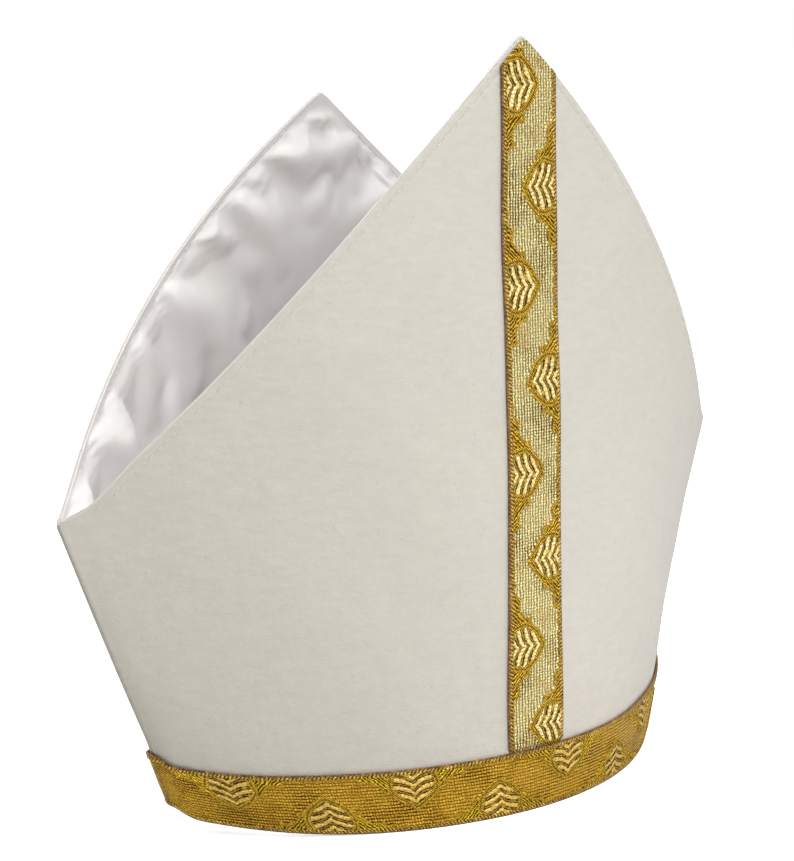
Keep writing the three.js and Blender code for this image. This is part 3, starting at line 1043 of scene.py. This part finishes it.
def galloon_weave(step, across, skipped=()):
    """The ribbon's weave at step, counted in leaves along it, and across from -1 to 1. Leaves grow
    in turn from the two edges, apart from the skipped ones, and each point follows the nearer one.
    Returns the relief in millimetres and the fields for the colour."""
    sides = []
    for edge, offset in ((1, 0), (-1, 1)):
        turn = step - offset
        number = 2 * np.round(turn / 2)
        motif = leaf_motif((turn - number) * LEAF_STEP, (1 - edge * across) * RIBBON_HALF_WIDTH)
        for key in ("leaf", "wing"):
            motif[key] = np.where(np.isin(number + offset, skipped), OUTSIDE_MOTIF, motif[key])
        sides.append(motif)
    depths = [np.maximum(motif["leaf"], motif["wing"]) for motif in sides]
    first = depths[0] >= depths[1]
    field = {key: np.where(first, sides[0][key], sides[1][key]) for key in WEAVE_FIELDS}
    inner = smooth_step(*RAISED_BAR_START, field["leaf"])
    bar = cord_line(wave_to(field["chevron"], BAR_PITCH / 2), 0, RAISED_BAR_HALF) * inner
    outline = INNER_CORD_SHARE * cord_line(field["leaf"], *RAISED_INNER_CORD)
    outline = np.maximum(cord_line(field["leaf"], *RAISED_OUTER_CORD), outline)
    bound = cord_line(field["wing"], *RAISED_WING_CORD) * (field["leaf"] < 0)
    star = np.clip(STAR_REACH - field["cusp"], 0, 1)
    filled = [smooth_step(-RAISED_SOFTNESS, RAISED_SOFTNESS, field[key]) for key in ("leaf", "wing")]
    filled = np.maximum(*filled)
    stripe = cord_line(wave_to(field["slant"], STRIPE_PITCH / 2), 0, STRIPE_PITCH / 2)
    stripe = stripe * filled * (field["leaf"] < 0)
    border = (1 - np.abs(across)) * RIBBON_HALF_WIDTH
    selvage = 1 - smooth_step(SELVAGE_WIDTH - SELVAGE_SOFTNESS, SELVAGE_WIDTH + SELVAGE_SOFTNESS, border)
    bead = cord_line(wave_to(step * LEAF_STEP + 0.5 * border, BEAD_PITCH / 2), 0, BEAD_PITCH / 2)
    relief = FILL_HEIGHT * filled + STRIPE_HEIGHT * stripe + BAR_HEIGHT * bar
    relief = np.maximum(relief, CORD_HEIGHT * np.maximum(np.maximum(outline, bound), star))
    relief = relief * (1 - selvage) + selvage * (SELVAGE_HEIGHT + BEAD_HEIGHT * bead)
    return relief, {key: np.clip(field[key], OUTSIDE_MOTIF, FIELD_LIMIT) for key in WEAVE_FIELDS}


def galloon_strip(horn):
    """The ribbon sewn up the middle of a horn, leaning a little to one side and cut to the
    horn's point, with its foot pressed thin under the band. Rows go by the length of the middle
    line, and the leaves stand a little further apart towards the tip."""
    climb = np.linspace(0, horn.apex, CLIMB_POINTS)
    length = line_run(face(horn, 0 * climb, climb))
    margin = STRIP_POINT_MARGIN[horn.name]
    room = horn_half_width(horn, climb) - margin
    tip = climb[np.flatnonzero(room > 0.5)[-1]]
    foot_run, tip_run = np.interp((STRIP_FOOT, tip), climb, length)
    run = np.linspace(foot_run, tip_run, STRIP_ROWS)[:, None]
    z = np.interp(run, length, climb)
    lean = STRIP_LEAN_FOOT + (STRIP_LEAN_TIP - STRIP_LEAN_FOOT) * smooth_step(*STRIP_LEAN_REACH, z)
    limit = horn_half_width(horn, z) - margin
    left = np.maximum(lean - STRIP_HALF_WIDTH, -limit)
    right = np.minimum(lean + STRIP_HALF_WIDTH, limit)
    x = left + (right - left) * np.linspace(0, 1, STRIP_COLUMNS)[None]
    z = z + 0 * x
    step = np.sqrt(STRIP_FIRST_STEP ** 2 + 2 * (run - STRIP_FIRST_LEAF)) - STRIP_FIRST_STEP
    relief, fields = galloon_weave(step + 0 * x, (x - lean) / STRIP_HALF_WIDTH)
    free = smooth_step(*STRIP_TUCK, z)
    foot = STRIP_TUCK_GAP + (PIECE_GAP - STRIP_TUCK_GAP) * free
    foot = foot + wave_sum(SLOW_WAVES, x, z, horn.side) * smooth_step(*WAVE_RIM_FADE, z)
    under = layer(horn, x, z, foot)
    wall = STRIP_TUCK_WALL + (GALLOON_WALL + relief - STRIP_TUCK_WALL) * free
    top = layer(horn, x, z, foot + wall)
    uv = np.stack([run + 0 * x, (x - lean) / STRIP_HALF_WIDTH * RIBBON_HALF_WIDTH], -1)
    piece = cloth_shell(horn.name + "_galloon", top, under, STRIP_GALLOON, uv, values=fields)
    return piece, float(run[-1, 0] - run[0, 0]) * MM


def ring_blur(points, columns):
    """Each column of a ring averaged with its neighbours by a bell curve."""
    taps = np.arange(-3 * columns, 3 * columns + 1)
    weights = np.exp(-0.5 * (taps / columns) ** 2)
    total = sum(w * np.roll(points, int(t), axis=1) for t, w in zip(taps, weights))
    return total / weights.sum()


def galloon_band(columns=BAND_COLUMNS, rows=BAND_ROWS):
    """The ribbon round the base: columns go by even steps of the way round at the band's middle,
    front then back, each column keeping its share of the width at every height."""
    half = np.linspace(-1, 1, BAND_HALF_POINTS)
    ends = np.linspace(0, 1, 9)[1:-1]
    share = np.concatenate([half, np.ones(len(ends)), half[::-1], -np.ones(len(ends))])
    behind = np.concatenate([0 * half, ends, 0 * half + 1, ends[::-1]])
    centre_z = np.full_like(share, BAND_FOOT + BAND_HEIGHT / 2)
    across = share * section_half_width(centre_z)
    line = (face(FRONT, across, centre_z) * (1 - behind)[:, None]
            + face(BACK, across, centre_z) * behind[:, None])
    length = line_run(np.concatenate([line, line[:1]]))
    way_round = length[-1]
    even = np.arange(columns) / columns * way_round
    share_at = np.interp(even, length, np.append(share, share[0]))
    behind_at = np.interp(even, length, np.append(behind, behind[0]))
    run = even - np.interp(0, half, length[:len(half)])
    z = np.linspace(BAND_FOOT, BAND_FOOT + BAND_HEIGHT, rows)[:, None] + 0 * share_at
    x = share_at * section_half_width(z)
    mix = behind_at[None, :, None]
    ring = face(FRONT, x, z) * (1 - mix) + face(BACK, x, z) * mix
    normal = unit(face_normal(FRONT, x, z) * (1 - mix) + face_normal(BACK, x, z) * mix)
    corner = np.exp(-(((1 - np.abs(share_at)) * BASE_HALF_WIDTH) / BAND_CORNER_REACH) ** 2)
    wave = felt_wave(FRONT, x, z) * (1 - behind_at) + felt_wave(BACK, x, z) * behind_at
    lift = PIECE_GAP + BAND_CORNER_LIFT * corner + wave
    ring = ring_blur(ring + normal * lift[..., None], BAND_CORNER_BLUR)
    normal = unit(ring_blur(normal, BAND_CORNER_BLUR))
    step = (run - BAND_FIRST_LEAF) / way_round * BAND_LEAVES
    across = np.linspace(-1, 1, rows)[:, None] + 0 * share_at
    relief, fields = galloon_weave(step[None] + 0 * across, across, JOINED_LEAVES)
    top = ring + normal * (GALLOON_WALL + relief)[..., None]
    uv = np.stack([step[None] * LEAF_STEP + 0 * across, across * RIBBON_HALF_WIDTH], -1)
    piece = cloth_shell("base_galloon", top, ring, SHADED_BAND_GALLOON, uv, ring=True, values=fields)
    return piece, float(way_round) * MM


# Stitching along the horns' edges

def edge_stitches(horn, name, inside, height, facing):
    """A row of stitches a set distance inside both edges of a horn, from the shoulder to the
    strip: the line where the edge distance is that of the stitch row, stepped by its length."""
    low = SHOULDER_HEIGHT + STITCH_FROM_SHOULDER
    z = np.linspace(low, horn.apex - STITCH_TO_POINT, STITCH_LINE_POINTS)
    half = horn_half_width(horn, z)
    inset = np.full_like(z, inside)
    for repeat in range(4):
        inset = inset * inside / np.maximum(edge_distance(horn, half - inset, z), 0.2)
    x = half - inset
    keep = x > STRIP_HALF_WIDTH + STITCH_TO_STRIP
    x, z = x[keep], z[keep]
    rows = []
    for edge in (-1, 1):
        line = layer(horn, edge * x, z, np.full_like(x, height))
        normal = face_normal(horn, edge * x, z) * facing
        length = line_run(line)
        at = np.arange(EDGE_STITCH_LENGTH / 2, length[-1] - EDGE_STITCH_LENGTH / 2, EDGE_STITCH_PITCH)
        pick = [np.stack([np.interp(at + shift, length, line[:, axis]) for axis in range(3)], -1)
                for shift in (0, -0.5, 0.5)]
        out = unit(np.stack([np.interp(at, length, normal[:, axis]) for axis in range(3)], -1))
        rows.append((pick[0], unit(pick[2] - pick[1]), out))
    centres, along, out = (np.concatenate(part) for part in zip(*rows))
    return stitch_row(name, centres, along, out, THREAD, EDGE_STITCH_LENGTH, EDGE_STITCH_RADIUS)


# The pieces, each attached to the root, with the solids they replace hidden


band, band_length = galloon_band()
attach(band, "root")
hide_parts("base_band")
for horn in HORNS:
    panel = felt_panel(horn)
    lining = lining_panel(horn)
    strip, strip_length = galloon_strip(horn)
    outside = edge_stitches(horn, horn.name + "_edge_stitches", EDGE_STITCH_LINE, -EDGE_STITCH_SINK, 1)
    within = edge_stitches(horn, horn.name + "_lining_stitches", LINING_STITCH_LINE,
                           -FELT_EDGE_WALL - LINING_GAP - LINING_WALL - LINING_STITCH_SINK, -1)
    for piece, slot in ((panel, "ivory_felt"), (lining, "white_satin"), (strip, "gold_galloon"),
                        (outside, "ivory_felt"), (within, "ivory_felt")):
        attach(piece, "root")
    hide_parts(horn.name + "_panel")
    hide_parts(horn.name + "_lining")
    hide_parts(horn.name + "_strip")


# Floor, lights and camera

def studio_floor():
    """A wide pale floor: rings of points round the middle."""
    radius = np.array([0.05, 0.3, 0.8, 2.0, 6.0, 20.0, 60.0]) / MM
    angle = np.linspace(0, 2 * np.pi, 96, endpoint=False)
    points = np.stack([radius[:, None] * np.cos(angle), radius[:, None] * np.sin(angle),
                       np.full((len(radius), len(angle)), FLOOR_HEIGHT)], -1)
    index = np.arange(points[..., 0].size).reshape(len(radius), len(angle))
    after = np.roll(index, -1, axis=1)
    quads = np.stack([index[:-1], index[1:], after[1:], after[:-1]], -1).reshape(-1, 4)
    return mesh_piece("studio_floor", points.reshape(-1, 3), [quads, index[:1]], floor_finish())


def view_direction(azimuth, elevation):
    """The direction out from the mitre at an azimuth and an elevation in degrees, with azimuth 0
    straight in front of it and 90 to the right as seen from there."""
    a, e = math.radians(azimuth), math.radians(elevation)
    return Vector((math.sin(a) * math.cos(e), -math.cos(a) * math.cos(e), math.sin(e)))


def soft_light(name, azimuth, elevation, distance, size, power):
    """A square soft white light aimed at the mitre's middle, its size and distance in metres."""
    lamp = bpy.data.lights.new(name, "AREA")
    lamp.shape = "SQUARE"
    lamp.size = size
    lamp.energy = power
    light = bpy.data.objects.new(name, lamp)
    bpy.context.scene.collection.objects.link(light)
    back = view_direction(azimuth, elevation)
    light.location = back * distance + Vector((0, 0, LIGHT_AIM_HEIGHT * MM))
    light.rotation_euler = back.to_track_quat("Z", "Y").to_euler()


def soft_sky(camera_strength, light_strength):
    """An even white surround: the strength seen behind the mitre, and the strength that lights it."""
    world = bpy.data.worlds.new("studio")
    world.use_nodes = True
    tree = world.node_tree
    tree.nodes.clear()
    seen = add_node(tree, "ShaderNodeLightPath").outputs["Is Camera Ray"]
    strength = add_node(tree, "ShaderNodeMapRange",
                        {"Value": seen, "To Min": light_strength, "To Max": camera_strength})
    sky = add_node(tree, "ShaderNodeBackground",
                   {"Color": (1, 1, 1, 1), "Strength": strength.outputs[0]})
    add_node(tree, "ShaderNodeOutputWorld", {"Surface": sky.outputs[0]})
    bpy.context.scene.world = world


def overhead_light(strength, spread):
    """A wide even light from straight above."""
    lamp = bpy.data.lights.new("overhead_light", "SUN")
    lamp.energy = strength
    lamp.angle = math.radians(spread)
    bpy.context.scene.collection.objects.link(bpy.data.objects.new("overhead_light", lamp))


studio_floor()
soft_light("key_light", azimuth=-8, elevation=38, distance=2.0, size=0.8, power=25.8)
soft_light("low_light", azimuth=30, elevation=-20, distance=0.30, size=0.10, power=0.075)
soft_light("back_light", azimuth=180, elevation=22, distance=2.2, size=1.0, power=18.0)
overhead_light(strength=2.05, spread=45)
soft_sky(camera_strength=1.0, light_strength=0.09)
bpy.context.scene.view_settings.view_transform = "Standard"


def photo_camera():
    """A camera set back along the view's direction from a point beside the mitre's middle, rolled
    a little, with a lens that gives the photograph's pixels for each radian."""
    azimuth = math.radians(CAMERA_AZIMUTH)
    back = view_direction(CAMERA_AZIMUTH, CAMERA_ELEVATION)
    right = Vector((math.cos(azimuth), math.sin(azimuth), 0))
    up = back.cross(right)
    aim = right * CAMERA_SIDESTEP + Vector((0, SEAM_Y, CAMERA_AIM_HEIGHT))
    place = (aim + back * CAMERA_DISTANCE) * MM
    lens = bpy.data.cameras.new("photo_camera")
    lens.sensor_fit = "VERTICAL"
    lens.sensor_height = SENSOR_HEIGHT
    lens.lens = FOCAL_PIXELS / IMAGE_HEIGHT * SENSOR_HEIGHT
    lens.clip_start = 0.05
    lens.clip_end = 50
    camera = bpy.data.objects.new("photo_camera", lens)
    bpy.context.scene.collection.objects.link(camera)
    turn = Matrix((right, up, back)).transposed().to_4x4()
    roll = Matrix.Rotation(math.radians(CAMERA_ROLL), 4, "Z")
    camera.matrix_world = Matrix.Translation(place) @ turn @ roll
    bpy.context.scene.camera = camera


photo_camera()
